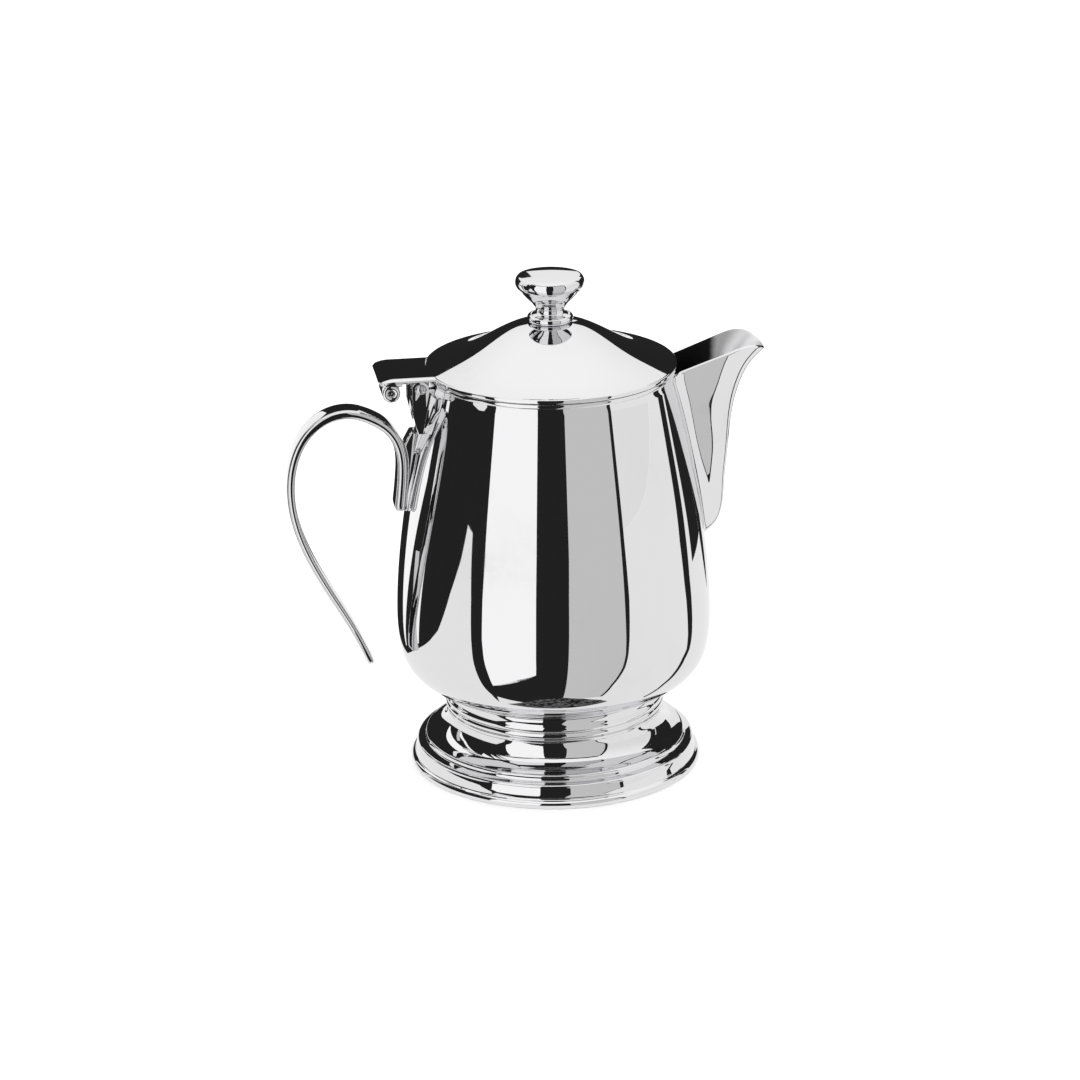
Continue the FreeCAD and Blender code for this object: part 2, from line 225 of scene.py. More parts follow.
LID_SIDE = [(7.0, 152.8), (10.5, 152.1), (16.0, 149.9), (24.0, 145.4), (32.0, 141.4), (37.5, 139.6),
            (LID_R - 0.6, 138.75)]


# ---------------------------------------------------------------- meshes

def settings():
    return bpy.context.scene.pot_sizes


def piece(bm, name):
    """Turns a bmesh into a smooth-shaded object at the origin."""
    for face in bm.faces:
        face.smooth = True
    mesh = bpy.data.meshes.new(name)
    bm.to_mesh(mesh)
    bm.free()
    obj = bpy.data.objects.new(name, mesh)
    bpy.context.scene.collection.objects.link(obj)
    return obj


def clean(bm, outward=True):
    """Merges seams and poles and points the faces outwards."""
    bmesh.ops.remove_doubles(bm, verts=bm.verts, dist=2e-6)
    bmesh.ops.dissolve_degenerate(bm, edges=bm.edges, dist=1e-7)
    if outward:
        bmesh.ops.recalc_face_normals(bm, faces=bm.faces)


def turned(outline, steps=None, closed=True, centre=(0.0, 0.0), axis="Z", bm=None):
    """A bmesh turned from an outline of (radius, height) points in millimetres."""
    bm = bm or bmesh.new()
    if axis == "Z":
        spots = [Vector((r, 0.0, z)) * MM for r, z in outline]
        middle, spindle = Vector((0, 0, 0)), (0, 0, 1)
    else:
        middle, spindle = Vector((centre[0], 0.0, centre[1])) * MM, (0, 1, 0)
        spots = [middle + Vector((r, along, 0.0)) * MM for r, along in outline]
    verts = [bm.verts.new(spot) for spot in spots]
    loop = verts + verts[:1] if closed else verts
    edges = [bm.edges.new(pair) for pair in zip(loop, loop[1:])]
    bmesh.ops.spin(
        bm, geom=verts + edges, cent=middle, axis=spindle, dvec=(0, 0, 0), angle=math.tau,
        steps=steps or settings().turns, use_merge=True, use_duplicate=False)
    return bm


def mapped(columns, rows, place, bm=None):
    """A bmesh grid whose corners (0..1, 0..1) are put where place says, in millimetres."""
    bm = bm or bmesh.new()
    made = bmesh.ops.create_grid(bm, x_segments=columns, y_segments=rows, size=1.0)
    for vert in made["verts"]:
        u, v = vert.co.x / 2 + 0.5, vert.co.y / 2 + 0.5
        vert.co = Vector(place(u, v)) * MM
    return bm


def block(low, high, bm=None, soft=0.3, segments=3):
    """A bmesh box in millimetres with rounded edges."""
    bm = bm or bmesh.new()
    low, high = Vector(low), Vector(high)
    matrix = Matrix.Translation((low + high) / 2 * MM) @ Matrix.Diagonal(((high - low) * MM).to_4d())
    made = bmesh.ops.create_cube(bm, size=1.0, matrix=matrix)
    edges = list({edge for vert in made["verts"] for edge in vert.link_edges})
    bmesh.ops.bevel(bm, geom=edges, offset=soft * MM, offset_type="OFFSET", segments=segments,
                    profile=0.5, affect="EDGES", material=-1)
    return bm


def soften(obj, width, segments=3, angle=35.0):
    """Rounds the cut edges of a piece."""
    bevel = obj.modifiers.new("soft_edges", "BEVEL")
    bevel.width = width
    bevel.segments = segments
    bevel.limit_method = "ANGLE"
    bevel.angle_limit = math.radians(angle)
    return obj


def stands_for(obj, body, *nodes, slot="polished_steel"):
    """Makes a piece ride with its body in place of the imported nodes."""
    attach(obj, body)
    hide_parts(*nodes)


# ---------------------------------------------------------------- shader groups

def new_group(name, inputs, outputs):
    """A shader group with float inputs (name, default) and named float outputs."""
    group = bpy.data.node_groups.new(name, "ShaderNodeTree")
    for label, default in inputs:
        socket = group.interface.new_socket(name=label, in_out="INPUT", socket_type="NodeSocketFloat")
        socket.default_value = default
    for label in outputs:
        group.interface.new_socket(name=label, in_out="OUTPUT", socket_type="NodeSocketFloat")
    return group, group.nodes.new("NodeGroupInput"), group.nodes.new("NodeGroupOutput")


def maths(tree, operation, first, second):
    """A maths node. Each operand is a socket or a number."""
    node = tree.nodes.new("ShaderNodeMath")
    node.operation = operation
    for socket, value in zip(node.inputs, (first, second)):
        if isinstance(value, (int, float)):
            socket.default_value = value
        else:
            tree.links.new(value, socket)
    return node.outputs[0]


def noise(tree, vector, scale, detail=2.0, rough=0.5):
    node = tree.nodes.new("ShaderNodeTexNoise")
    node.inputs["Detail"].default_value = detail
    node.inputs["Roughness"].default_value = rough
    tree.links.new(vector, node.inputs["Vector"])
    if isinstance(scale, (int, float)):
        node.inputs["Scale"].default_value = scale
    else:
        tree.links.new(scale, node.inputs["Scale"])
    return node.outputs[0]


def ramp(tree, value, low, high):
    """0 below low, 1 above high, smooth between."""
    node = tree.nodes.new("ShaderNodeMapRange")
    node.interpolation_type = "SMOOTHSTEP"
    node.inputs["From Min"].default_value = low
    node.inputs["From Max"].default_value = high
    tree.links.new(value, node.inputs["Value"])
    return node.outputs["Result"]


def smudge_group():
    """Soft marks that handling leaves on a buffed face."""
    group, given, result = new_group(
        "handling_marks", [("Scale", 22.0), ("Amount", 0.05)], ["Marks", "Roughness"])
    where = group.nodes.new("ShaderNodeTexCoord").outputs["Object"]
    wide = ramp(group, noise(group, where, given.outputs["Scale"], 3.0), 0.48, 0.72)
    fine_scale = maths(group, "MULTIPLY", given.outputs["Scale"], 9.0)
    fine = ramp(group, noise(group, where, fine_scale, 4.0, 0.6), 0.4, 0.75)
    marks = maths(group, "MULTIPLY", wide, maths(group, "ADD", maths(group, "MULTIPLY", fine, 0.6), 0.4))
    group.links.new(marks, result.inputs["Marks"])
    group.links.new(maths(group, "MULTIPLY", marks, given.outputs["Amount"]), result.inputs["Roughness"])
    return group


def buffing_group():
    """Hair-fine buffing lines that run around the pot's axis."""
    group, given, result = new_group("buffing_lines", [("Density", 900.0), ("Wander", 14.0)], ["Height"])
    where = group.nodes.new("ShaderNodeTexCoord").outputs["Object"]
    split = group.nodes.new("ShaderNodeSeparateXYZ")
    group.links.new(where, split.inputs[0])
    far = maths(group, "SQRT", maths(group, "ADD", maths(group, "POWER", split.outputs[0], 2.0),
                                     maths(group, "POWER", split.outputs[1], 2.0)), 0.0)
    joined = group.nodes.new("ShaderNodeCombineXYZ")
    lane = maths(group, "MULTIPLY", maths(group, "ADD", far, split.outputs[2]), given.outputs["Density"])
    group.links.new(lane, joined.inputs[0])
    wander = noise(group, where, given.outputs["Wander"], 2.0)
    group.links.new(maths(group, "MULTIPLY", wander, 3.0), joined.inputs[1])
    group.links.new(noise(group, joined.outputs[0], 1.0, 4.0, 0.7), result.inputs["Height"])
    return group


def scratch_group():
    """Sparse short scratches, as use leaves them."""
    group, given, result = new_group("use_scratches", [("Scale", 160.0), ("Amount", 0.4)], ["Lines"])
    where = group.nodes.new("ShaderNodeTexCoord").outputs["Object"]
    total = None
    for turn, stretch in ((0.4, 26.0), (-0.9, 34.0)):
        place = group.nodes.new("ShaderNodeMapping")
        place.inputs["Rotation"].default_value = (turn, turn * 0.7, turn * 1.9)
        place.inputs["Scale"].default_value = (1.0, 1.0, stretch)
        group.links.new(where, place.inputs["Vector"])
        line = ramp(group, noise(group, place.outputs[0], given.outputs["Scale"], 1.0), 0.735, 0.79)
        total = line if total is None else maths(group, "MAXIMUM", total, line)
    group.links.new(maths(group, "MULTIPLY", total, given.outputs["Amount"]), result.inputs["Lines"])
    return group


def metal(name, colour, rough, smudge, grain, density, scratches=0.35):
    """A steel finish: colour, polish, handling marks, buffing lines and scratches."""
    mat = bpy.data.materials.new(name)
    mat.use_nodes = True
    tree = mat.node_tree
    shader = tree.nodes["Principled BSDF"]
    shader.inputs["Metallic"].default_value = 1.0
    groups = bpy.data.node_groups
    marks = tree.nodes.new("ShaderNodeGroup")
    marks.node_tree = groups.get("handling_marks") or smudge_group()
    marks.inputs["Amount"].default_value = smudge
    lines = tree.nodes.new("ShaderNodeGroup")
    lines.node_tree = groups.get("buffing_lines") or buffing_group()
    lines.inputs["Density"].default_value = density
    scuffs = tree.nodes.new("ShaderNodeGroup")
    scuffs.node_tree = groups.get("use_scratches") or scratch_group()
    scuffs.inputs["Amount"].default_value = scratches
    tint = tree.nodes.new("ShaderNodeMix")
    tint.data_type = "RGBA"
    tint.inputs[6].default_value = (*colour, 1.0)
    tint.inputs[7].default_value = (*[c * 0.93 for c in colour], 1.0)
    tree.links.new(marks.outputs["Marks"], tint.inputs[0])
    tree.links.new(tint.outputs[2], shader.inputs["Base Color"])
    scored = maths(tree, "MULTIPLY", scuffs.outputs["Lines"], 0.12)
    worn = maths(tree, "ADD", marks.outputs["Roughness"], scored)
    tree.links.new(maths(tree, "ADD", worn, rough), shader.inputs["Roughness"])
    bump = tree.nodes.new("ShaderNodeBump")
    bump.inputs["Strength"].default_value = grain
    bump.inputs["Distance"].default_value = 0.00002
    tree.links.new(lines.outputs["Height"], bump.inputs["Height"])
    tree.links.new(bump.outputs[0], shader.inputs["Normal"])
    return mat


# Painted shade down in the beak's throat: its near black colour, and the span where it fades out towards the
# lip
THROAT_PAINTED_SHADE = (0.018, 0.017, 0.017)
THROAT_SHADE_FADE = (0.0560, 0.0590)


def shaded_throat_material(name):
    """Steel inside the beak: dull, with painted shade that turns its colour near black down in the throat and
    bright again near the lip.
    """
    mat = metal(name, tuple(bpy.context.scene.pot_finish.steel), 0.4, 0.05, 0.2, 900.0, 0.1)
    tree = mat.node_tree
    shader = tree.nodes["Principled BSDF"]
    bright = shader.inputs["Base Color"].links[0].from_socket
    split = tree.nodes.new("ShaderNodeSeparateXYZ")
    where = tree.nodes.new("ShaderNodeTexCoord").outputs["Object"]
    tree.links.new(where, split.inputs[0])
    wander = maths(tree, "MULTIPLY", noise(tree, where, 130.0, 2.0), 0.004)
    edge = maths(tree, "ADD", split.outputs[0], wander)
    mix = tree.nodes.new("ShaderNodeMix")
    mix.data_type = "RGBA"
    mix.inputs[6].default_value = (*THROAT_PAINTED_SHADE, 1.0)
    tree.links.new(ramp(tree, edge, *THROAT_SHADE_FADE), mix.inputs[0])
    tree.links.new(bright, mix.inputs[7])
    tree.links.new(mix.outputs[2], shader.inputs["Base Color"])
    return mat


def finishes():
    """The finishes by name, made once."""
    made = bpy.data.materials
    if made.get("mirror_steel"):
        return made
    wish = bpy.context.scene.pot_finish
    metal("mirror_steel", tuple(wish.steel), wish.polish, wish.smudge, 0.05, 900.0, 0.08)
    metal("turned_knob_steel", tuple(wish.steel), wish.polish, wish.smudge * 1.4, 0.08, 1600.0)
    # The strap is the body's steel painted a tenth darker: painted shade
    metal("strap_steel_shaded", tuple(c * 0.9 for c in wish.steel), wish.polish, wish.smudge * 1.6, 0.05, 700.0)
    metal("satin_inside", tuple(wish.satin), 0.22, 0.08, 0.5, 1400.0, 0.15)
    # the beak's inside, with painted shade down its throat
    shaded_throat_material("beak_throat_painted_shade")
    metal("satin_hardware", tuple(wish.satin), 0.2, 0.1, 0.35, 2200.0, 0.5)
    return made


def paint(obj, *names):
    for name in names:
        obj.data.materials.append(finishes()[name])


# ---------------------------------------------------------------- body

def shell_outline(outer, wall):
    """Closed outline of a sheet wall from its outer line."""
    inner = [(max(r, 0.0), z) for r, z in offset(outer, wall)]
    return outer + inner[::-1]


def inside_faces(bm, limit):
    """Gives the second finish to the faces that look inwards."""
    for face in bm.faces:
        middle = face.calc_center_median() / MM
        if limit(middle):
            face.material_index = 1


def open_behind_beak(bm):
    """Cuts the pouring hole in the wall behind the beak and closes its edge."""
    top, low, wide, narrow = 131.6, 86.0, 8.2, 1.9
    lean = Vector((0.0, top - low, narrow - wide)).normalized()
    cuts = [
        (Vector((0, wide, top)), lean),
        (Vector((0, -wide, top)), Vector((0, -lean.y, lean.z))),
        (Vector((0, 0, top)), Vector((0, 0, 1))),
        (Vector((0, 0, low)), Vector((0, 0, -1))),
    ]

    def near(face):
        spot = face.calc_center_median() / MM
        return spot.x > 20 and abs(spot.y) < 14 and low - 4 < spot.z < top + 4

    for spot, normal in cuts:
        faces = [face for face in bm.faces if near(face)]
        geom = faces + list({e for f in faces for e in f.edges}) + list({v for f in faces for v in f.verts})
        bmesh.ops.bisect_plane(bm, geom=geom, plane_co=spot * MM, plane_no=normal, dist=1e-6)
    hole = []
    for face in bm.faces:
        spot = face.calc_center_median() / MM
        if spot.x > 20 and all((spot - place).dot(normal) < 0 for place, normal in cuts):
            hole.append(face)
    bmesh.ops.delete(bm, geom=hole, context="FACES")
    rim = [edge for edge in bm.edges if edge.is_boundary]
    bmesh.ops.bridge_loops(bm, edges=rim)


def build_body():
    wall = settings().wall / MM
    outer = [(0.0, FLOOR_Z), (10.0, FLOOR_Z), (20.0, FLOOR_Z)] + BODY_LINE
    outer += [(MOUTH_R, NECK_LOW + 1.2), (MOUTH_R, NECK_LOW + 2.4), (MOUTH_R, TOP)]
    bm = turned(shell_outline(outer, wall))
    clean(bm)
    inside_faces(bm, lambda spot: math.hypot(spot.x, spot.y) < body_radius(spot.z) - wall * 0.6
                 and spot.z > FLOOR_Z + wall * 0.6)
    open_behind_beak(bm)
    body = soften(piece(bm, "body_wall"), 0.00015, 2, 50)
    paint(body, "mirror_steel", "satin_inside")
    stands_for(body, "pot", "body_shell")

    middle = (BEAD_LOW + TOP) / 2
    bead = arc((BEAD_R - 0.3, BEAD_LOW), (BEAD_R, middle), (BEAD_R - 0.25, TOP), 14)
    outline = bead + [(MOUTH_R, TOP), (MOUTH_R, BEAD_LOW)]
    bm = turned(outline)
    clean(bm)
    ring = soften(piece(bm, "mouth_bead"), 0.00012, 2)
    paint(ring, "mirror_steel")
    stands_for(ring, "pot", "rim_bead")


# ---------------------------------------------------------------- foot

def build_foot():
    wall = settings().wall / MM
    waist = smooth([(36.1, FOOT_TOP), (36.4, 16.2), (37.1, 14.2), (38.4, 12.4), (40.4, 10.9),
                    (42.8, 10.0)], 10)
    step = arc((42.8, 10.0), (43.45, 9.75), (43.65, 9.1), 8)[1:] + [(43.9, 8.1)]
    drum = arc((45.7, 7.65), (46.3, 7.3), (46.5, 6.7), 8)
    drum += arc((46.5, 6.7), (47.0, 4.8), (47.35, 2.9), 10)[1:]
    lip = arc((47.6, 2.7), (48.7, 1.4), (48.4, 0.0), 12)
    inner = smooth([(35.2, FOOT_TOP - wall), (35.5, 15.7), (36.3, 13.6), (37.8, 11.6), (40.0, 10.0),
                    (42.2, 8.9), (43.2, 7.5), (44.9, 6.4), (45.8, 4.6), (46.5, 2.4), (47.6, 0.0)], 6)
    flange = 33.4
    outline = [(flange, FOOT_TOP)] + waist + step + drum + lip + inner[::-1] + [(flange, FOOT_TOP - wall)]
    bm = turned(outline)
    clean(bm)
    foot = soften(piece(bm, "flared_foot"), 0.00018, 3, 28)
    paint(foot, "mirror_steel")
    stands_for(foot, "pot", "foot_shell")

    low, mid, high, radius, swell = 19.5, 21.7, 24.0, 36.4, 0.4
    side = [(radius, FOOT_TOP), (radius, 18.9), (radius, low)]
    side += arc((radius, low), (radius + swell, (low + mid) / 2), (radius, mid), 12)[1:]
    side += arc((radius, mid), (radius + swell, (mid + high) / 2), (radius, high), 12)[1:]
    side += [(radius, 25.2), (radius, 26.65), (33.4, 25.4), (33.4, FOOT_TOP)]
    bm = turned(side)
    clean(bm)
    collar = soften(piece(bm, "stepped_collar"), 0.00012, 2, 40)
    paint(collar, "mirror_steel")
    stands_for(collar, "pot", "foot_collar")


# ---------------------------------------------------------------- beak

def curve_points(corners, steps):
    """Points on the Bezier curve over its corners, without the last one."""
    spots = np.array(corners, float)
    points = []
    for i in range(steps):
        level = spots
        while len(level) > 1:
            level = level[:-1] + (level[1:] - level[:-1]) * (i / steps)
        points.append(tuple(level[0]))
    return points


@lru_cache(maxsize=None)
def beak_section(z):
    """Half outline of the beak at a height, from the wall to the keel."""
    table = np.array(BEAK_FINE)
    half, sweep, corner_x, corner_half, keel = [
        float(np.interp(z, table[:, 0], table[:, i])) for i in range(1, 6)]
    radius = body_radius(min(z, NECK_LOW))
    root = half + min(4.2, 0.75 * half)
    start = (math.sqrt(radius ** 2 - root ** 2) - 0.25, root)
    wall = (math.sqrt(radius ** 2 - half ** 2) + 0.15, half)
    corner = (corner_x, corner_half)

    def flat(x):
        share = (x - wall[0]) / (corner[0] - wall[0])
        return x, wall[1] + share * (corner[1] - wall[1])

    turn_in = flat(corner_x - 0.25 * (corner_x - wall[0]))
    sweep_end = flat(min(max(sweep, wall[0] + 0.3), turn_in[0] - 0.02))
    points = curve_points([start, wall, sweep_end], 12)
    points += curve_points([sweep_end, turn_in], 12)
    points += curve_points([turn_in, corner, (keel, 0.8 * corner_half), (keel, 0.0)], 20)
    return points + [(keel, 0.0)]


@lru_cache(maxsize=None)
def beak_spot(share, z):
    """Spot on the half outline, share 0 at the keel and 1 at the wall."""
    half = np.array(beak_section(round(z, 3)))
    steps = np.linspace(1.0, 0.0, len(half))[::-1]
    x = float(np.interp(share, steps, half[::-1, 0]))
    return x, max(float(np.interp(share, steps, half[::-1, 1])), 0.0)


@lru_cache(maxsize=None)
def mouth_height(share):
    """Height where the outline at that share meets the mouth."""
    mouth = np.array(MOUTH_LINE)
    low, high = BEAK_ROWS[0][0], BEAK_ROWS[-1][0]
    for _ in range(16):
        middle = (low + high) / 2
        if middle < np.interp(beak_spot(share, middle)[0], mouth[:, 0], mouth[:, 1]):
            low = middle
        else:
            high = middle
    return low


def beak_place(u, v):
    """Spot on the outer face of the beak: u around, v from root to mouth."""
    share = round(abs(u - 0.5) * 2, 6)
    low = BEAK_ROWS[0][0]
    z = low + (mouth_height(share) - low) * v
    x, y = beak_spot(share, round(z, 3))
    return x, math.copysign(y, u - 0.5), z


def build_beak():
    bm = mapped(96, 90, beak_place)
    clean(bm, False)
    flank = max(bm.faces, key=lambda face: face.calc_center_median().y)
    if flank.normal.y < 0:
        bmesh.ops.reverse_faces(bm, faces=bm.faces)
    beak = piece(bm, "pouring_beak")
    sheet = beak.modifiers.new("sheet", "SOLIDIFY")
    sheet.thickness = settings().wall
    sheet.offset = -1.0
    sheet.use_even_offset = True
    sheet.material_offset = 1
    soften(beak, 0.0003, 3, 50)
    paint(beak, "mirror_steel", "beak_throat_painted_shade")
    stands_for(beak, "pot", "spout_shell")


# ---------------------------------------------------------------- handle

STRAP_CAP = 0.02           # share of its length that each rounded end takes
STRAP_THICK = (1.8, 1.15)  # half thickness at the leg and at the tail
STRAP_WIDE = (5.2, 4.2)    # half width at the leg and at the tail


def strap_place(u, v):
    """Spot on the strap handle: u around its section, v along it."""
    line = HANDLE_FINE
    last = len(line) - 1
    along = min(max((v - STRAP_CAP) / (1 - 2 * STRAP_CAP), 0.0), 1.0)
    at = along * last
    i = min(int(at), last - 1)
    here = np.array(line[i]) * (1 - at + i) + np.array(line[i + 1]) * (at - i)
    ahead = np.array(line[min(i + 2, last)]) - np.array(line[max(i - 1, 0)])
    ahead /= np.linalg.norm(ahead)
    across = np.array([-ahead[1], ahead[0]])
    half_thick = STRAP_THICK[0] + (STRAP_THICK[1] - STRAP_THICK[0]) * along
    half_wide = STRAP_WIDE[0] + (STRAP_WIDE[1] - STRAP_WIDE[0]) * along
    close = min(v, 1 - v) / STRAP_CAP
    round_end = math.sqrt(max(1 - (1 - min(close, 1.0)) ** 2, 0.0))
    past = 0.0 if close >= 1 else (1 - close) * half_thick * (1 if v > 0.5 else -1)
    half_wide -= half_thick * (1 - round_end)
    half_thick *= round_end
    angle = math.tau * u
    flat = half_wide - min(half_thick, half_wide)
    side, rise = math.cos(angle), math.sin(angle)
    y = flat * max(-1.0, min(1.0, side * 2.2)) + half_thick * math.copysign(abs(side) ** 0.9, side)
    lift = half_thick * math.copysign(abs(rise) ** 0.72, rise)
    spot = here + ahead * past + across * lift
    return spot[0], y, spot[1]


def copied(node, name, width):
    """A soft-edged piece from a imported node's own shape."""
    bm = bmesh.new()
    bm.from_mesh(frame["nodes"][node].data)
    bmesh.ops.remove_doubles(bm, verts=bm.verts, dist=3e-6)
    bmesh.ops.dissolve_limit(bm, angle_limit=math.radians(1.5), verts=bm.verts, edges=bm.edges)
    obj = piece(bm, name)
    soften(obj, width, 3, 30)
    return obj


def build_handle():
    bm = mapped(48, 260, strap_place)
    clean(bm)
    strap = piece(bm, "strap_handle")
    paint(strap, "strap_steel_shaded")
    stands_for(strap, "pot", "handle_strap")
    mount = copied("handle_mount", "handle_spine", 0.0004)
    paint(mount, "mirror_steel")
    stands_for(mount, "pot", "handle_mount")


# ---------------------------------------------------------------- hinge

def build_hinge():
    bracket = copied("hinge_bracket", "hinge_shield", 0.0003)
    paint(bracket, "mirror_steel")
    stands_for(bracket, "pot", "hinge_bracket")

    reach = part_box("hinge_pin")[1].y / MM
    shank, neck = 1.1, reach - 1.0
    head = arc((1.84, neck), (1.3, reach - 0.3), (0.0, reach), 8)
    tail = [(r, -y) for r, y in head[::-1]]
    outline = [(0.0, -reach)] + tail[1:] + [(shank, -neck), (shank, neck)] + head
    bm = turned(outline, 48, False, PIN, "Y")
    clean(bm)
    pin = piece(bm, "hinge_pin_peened")
    paint(pin, "satin_hardware")
    stands_for(pin, "pot", "hinge_pin", slot="pin_steel")


# ---------------------------------------------------------------- lid

def build_lid():
    wall = settings().wall / MM
    hole, flat = 2.0, 4.5
    dome_line = smooth(LID_SIDE, 12)
    top = dome_line[0][1]
    outer = [(hole, top), (flat, top)] + dome_line
    under = [(hole, top - wall), (flat, top - wall)] + offset(dome_line, -wall)
    edge = arc((LID_R - 0.6, 138.75), (LID_R - 0.12, 138.6), (LID_R, 138.2), 6)[1:]
    edge += arc((LID_R, 137.8), (LID_R - 0.15, LID_REST + 0.15), (LID_R - 0.5, LID_REST), 6)
    outline = outer + edge + [(under[-1][0] - 0.4, LID_REST)] + under[::-1]
    bm = turned(outline)
    clean(bm)
    inside_faces(bm, lambda spot: spot.z < np.interp(
        math.hypot(spot.x, spot.y), [p[0] for p in dome_line], [p[1] for p in dome_line]) - wall * 0.6
        and math.hypot(spot.x, spot.y) < LID_R - 1.2)
    lid = soften(piece(bm, "domed_lid"), 0.00015, 2, 50)
    paint(lid, "mirror_steel", "satin_inside")
    stands_for(lid, "lid", "lid_shell")

    radius, low, high = 38.8, LID_REST - 2.8, 138.4
    side = [(radius, high), (radius, low + 0.4), (radius - 0.12, low + 0.12), (radius - 0.4, low),
            (radius - wall, low), (radius - wall, high)]
    bm = turned(side)
    clean(bm)
    flange = soften(piece(bm, "locating_flange"), 0.0001, 2)
    paint(flange, "satin_inside")
    stands_for(flange, "lid", "lid_flange")


TONGUE_TIP = 58.0
TONGUE_TOP = 139.15
TONGUE_CORNER = 4.2
TONGUE_ROLL = (1.4, 1.2)   # width and drop of the rolled side edges


def tongue_place(u, v):
    """Spot on the top of the thumb tongue: u outwards from the lid, v across."""
    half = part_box("lid_tongue")[1].y / MM
    y = math.sin((v - 0.5) * math.pi) * half
    start = math.sqrt(LID_R ** 2 - y * y) - 0.3
    inward = max(abs(y) - (half - TONGUE_CORNER), 0.0)
    end = TONGUE_TIP - TONGUE_CORNER + math.sqrt(max(TONGUE_CORNER ** 2 - inward ** 2, 0.0))
    x = start + (end - start) * u
    droop = max(x - 52.5, 0.0) ** 2 * 0.045
    crown = 0.25 * (1 - (y / half) ** 2)
    wide, drop = TONGUE_ROLL
    past = max(abs(y) - (half - wide), 0.0) / wide
    roll = drop * (1 - math.sqrt(max(1 - past ** 2, 0.0)))
    return -x, y, TONGUE_TOP + crown - droop - roll


def build_tongue():
    bm = mapped(40, 72, tongue_place)
    clean(bm, False)
    if sum(face.normal.z for face in bm.faces) < 0:
        bmesh.ops.reverse_faces(bm, faces=bm.faces)
    plate = piece(bm, "thumb_tongue")
    sheet = plate.modifiers.new("sheet", "SOLIDIFY")
    sheet.thickness = 0.0015
    sheet.offset = -1.0
    soften(plate, 0.0007, 5, 40)
    paint(plate, "mirror_steel")
    stands_for(plate, "lid", "lid_tongue")

    curl_x, curl_z, curl_half = -53.3, 132.4, 5.8
    ring = [(1.1, -curl_half + 0.3), (1.4, -curl_half), (2.5, -curl_half), (2.9, -curl_half + 0.3),
            (3.0, -curl_half + 0.9), (3.0, 0.0)]
    ring += [(r, -y) for r, y in ring[-2::-1]]
    bm = turned(ring, 64, True, (curl_x, curl_z), "Y")
    block((-56.2, -curl_half, 134.6), (-49.6, curl_half, 138.2), bm, 0.5)
    block((-50.2, -curl_half, 135.4), (-46.8, curl_half, 138.2), bm, 0.5)
    knuckle = [(1.15, -6.5), (2.2, -6.5), (2.5, -6.2), (2.5, 6.2), (2.2, 6.5), (1.15, 6.5)]
    turned(knuckle, 64, True, PIN, "Y", bm)
    block((PIN[0] - 2.3, -6.4, PIN[1] + 1.3), (PIN[0] + 1.9, 6.4, 138.2), bm, 0.3)
    clean(bm)
    curl = piece(bm, "curl_and_knuckle")
    paint(curl, "mirror_steel")
    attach(curl, "lid")
    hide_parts("lid_tongue")


def build_knob():
    seat = 152.8
    line = [(2.0, seat), (4.2, seat), (6.6, seat)]
    line += arc((6.6, seat), (7.6, 154.0), (6.0, 155.4), 18)[1:]
    line += arc((6.0, 155.4), (4.8, 156.7), (5.2, 158.1), 14)[1:]
    line += smooth([(5.2, 158.1), (6.3, 159.5), (7.8, 161.0), (9.2, 162.5), (10.3, 163.9)], 6)[1:]
    line += arc((10.3, 163.9), (KNOB_R, 165.9), (10.5, 168.2), 18)[1:]
    line += dome(10.5, 168.2, KNOB_TOP)[1:]
    line += [(0.0, 158.8), (2.0, 158.8)]
    bm = turned(line, 128)
    clean(bm)
    knob = soften(piece(bm, "turned_knob"), 0.00015, 2, 40)
    paint(knob, "turned_knob_steel")
    stands_for(knob, "lid", "knob")


def finish_hardware():
    """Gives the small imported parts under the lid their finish."""
    for node in ("knob_washer", "knob_screw"):
        obj = frame["nodes"][node]
        obj.data.materials.clear()
        paint(obj, "satin_hardware")


# ---------------------------------------------------------------- stage

def plain(name, colour, rough):
    mat = bpy.data.materials.new(name)
    mat.use_nodes = True
    shader = mat.node_tree.nodes["Principled BSDF"]
    shader.inputs["Base Color"].default_value = (*colour, 1.0)
    shader.inputs["Roughness"].default_value = rough
    return mat


def glow(name, level):
    mat = bpy.data.materials.new(name)
    mat.use_nodes = True
    shader = mat.node_tree.nodes["Principled BSDF"]
    shader.inputs["Base Color"].default_value = (0.0, 0.0, 0.0, 1.0)
    shader.inputs["Specular IOR Level"].default_value = 0.0
    shader.inputs["Roughness"].default_value = 1.0
    shader.inputs["Emission Color"].default_value = (level, level, level, 1.0)
    shader.inputs["Emission Strength"].default_value = 1.0
    return mat


def spot(across, towards, height=0.0):
    """A place given in millimetres across the camera's view, towards the camera and up."""
    turn = bpy.context.scene.pot_stage.turn
    x = across * math.cos(turn) - towards * math.sin(turn)
    y = -across * math.sin(turn) - towards * math.cos(turn)
    return Vector((x, y, height)) * MM


def quad(bm, corners):
    bmesh.ops.contextual_create(bm, geom=[bm.verts.new(corner) for corner in corners])


def strip(bm, left, right, height):
    """A flat card on the floor between two lines of the same number of places."""
    for (a, b), (c, d) in zip(zip(left, left[1:]), zip(right, right[1:])):
        quad(bm, [spot(*a, height), spot(*c, height), spot(*d, height), spot(*b, height)])


def fence(bm, line, low, high):
    """Upright cards along a line, from low to high."""
    for a, b in zip(line, line[1:]):
        quad(bm, [spot(*a, low), spot(*b, low), spot(*b, high), spot(*a, high)])


def reflector(bm, name, level):
    """A set of glowing cards that lights nothing and is seen only in the polished metal: painted reflections.
    """
    card = piece(bm, name)
    card.data.materials.append(glow(name + "_face", level))
    card.visible_camera = False
    card.visible_diffuse = False
    card.visible_shadow = False
    return card
